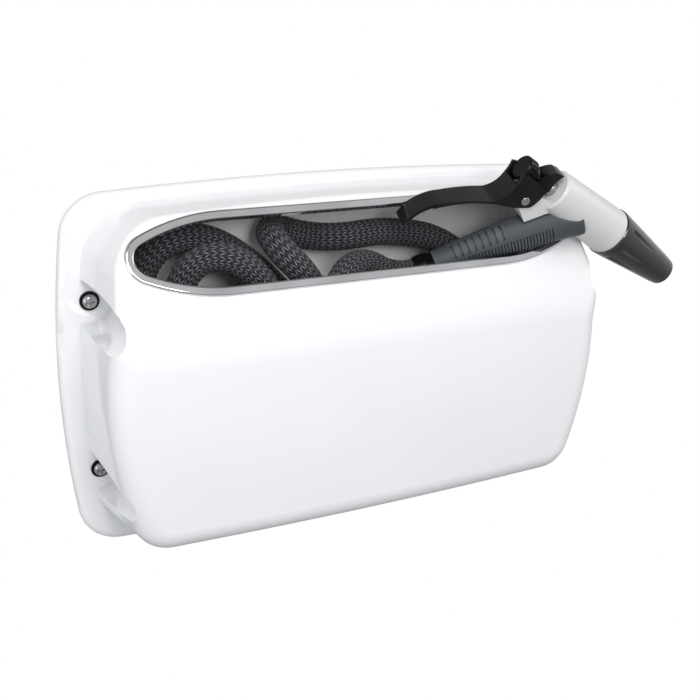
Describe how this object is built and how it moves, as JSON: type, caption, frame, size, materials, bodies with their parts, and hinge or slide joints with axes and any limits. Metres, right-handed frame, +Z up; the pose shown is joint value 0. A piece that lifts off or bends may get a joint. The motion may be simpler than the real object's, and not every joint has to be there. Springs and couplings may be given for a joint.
{
  "type": "hose pocket",
  "caption": "Wall-hung moulded pocket with an oval mouth, a soft hose coiled inside and a trigger spray nozzle resting in the mouth.",
  "frame": {"origin": "centre of the four mounting screws, on the wall plane", "axes": "+X to the right and +Z up as the front is seen; the wall plane is y = 0 and the pocket stands out towards -Y"},
  "size_m": [0.4511, 0.1241, 0.2788],
  "materials": {
    "housing": "gloss white moulding",
    "back_panel": "matte light grey",
    "wall_gasket": "closed-cell foam rubber",
    "panel_screws": "stainless",
    "mouth_trim_ring": "polished steel",
    "mounting_screws": "stainless",
    "mounting_washers": "stainless",
    "inlet_bulkhead": "plain brass",
    "inlet_nut": "plain brass",
    "inlet_seal_washer": "black rubber",
    "inlet_elbow": "plain brass",
    "hose_inlet_collar": "crimped ferrule",
    "hose": "woven slate sleeve",
    "hose_tail": "woven slate sleeve",
    "nozzle_body_casting": "satin light grey",
    "nozzle_grip": "soft slate grip",
    "hose_outlet_collar": "black",
    "stem_gland": "plated brass",
    "tip_o_ring": "black rubber",
    "valve_spring": "stainless wire",
    "lever_pin": "stainless",
    "nozzle_lever": "gloss black",
    "valve_stem": "stainless",
    "valve_seal": "black rubber",
    "flow_knob": "gloss black",
    "nozzle_tip": "gloss black"
  },
  "bodies": {
    "enclosure": {"housing": "housing", "back_panel": "back_panel", "wall_gasket": "wall_gasket", "panel_screws": "panel_screws", "mouth_trim_ring": "mouth_trim_ring", "mounting_screws": "mounting_screws", "mounting_washers": "mounting_washers", "inlet_bulkhead": "inlet_bulkhead", "inlet_nut": "inlet_nut", "inlet_seal_washer": "inlet_seal_washer", "inlet_elbow": "inlet_elbow", "hose_inlet_collar": "hose_inlet_collar", "hose": "hose", "hose_tail": "hose_tail"},
    "nozzle": {"nozzle_body_casting": "nozzle_body_casting", "nozzle_grip": "nozzle_grip", "hose_outlet_collar": "hose_outlet_collar", "stem_gland": "stem_gland", "tip_o_ring": "tip_o_ring", "valve_spring": "valve_spring", "lever_pin": "lever_pin"},
    "lever": {"nozzle_lever": "nozzle_lever"},
    "stem": {"valve_stem": "valve_stem", "valve_seal": "valve_seal"},
    "knob": {"flow_knob": "flow_knob"},
    "tip": {"nozzle_tip": "nozzle_tip"}
  },
  "joints": [
    {"name": "nozzle_lift", "type": "slide", "parent": "enclosure", "child": "nozzle", "axis": [0, -0.4825, 0.8759], "range_m": [0, 0.12], "deforming": ["hose_tail"]},
    {"name": "lever_squeeze", "type": "hinge", "parent": "nozzle", "child": "lever", "pos_m": [0.10752, -0.07764, 0.12694], "axis": [-0.1726, -0.9292, -0.3269], "range_deg": [0, 15]},
    {"name": "stem_slide", "type": "slide", "parent": "nozzle", "child": "stem", "axis": [-0.8462, -0.03, 0.532], "range_m": [0, 0.00405], "stiffness_N_per_m": 100, "springref_m": -0.004, "deforming": ["valve_spring"]},
    {"name": "knob_turn", "type": "hinge", "parent": "stem", "child": "knob", "pos_m": [0.10823, -0.0836, 0.14352], "axis": [0.8462, 0.03, -0.532], "range_deg": [0, 180]},
    {"name": "tip_twist", "type": "hinge", "parent": "nozzle", "child": "tip", "pos_m": [0.21824, -0.0797, 0.07436], "axis": [0.8462, 0.03, -0.532], "range_deg": [0, 180]}
  ],
  "couplings": [
    {"joint": "lever_squeeze", "follows": "stem_slide", "rad_per_m": 64.5}
  ]
}
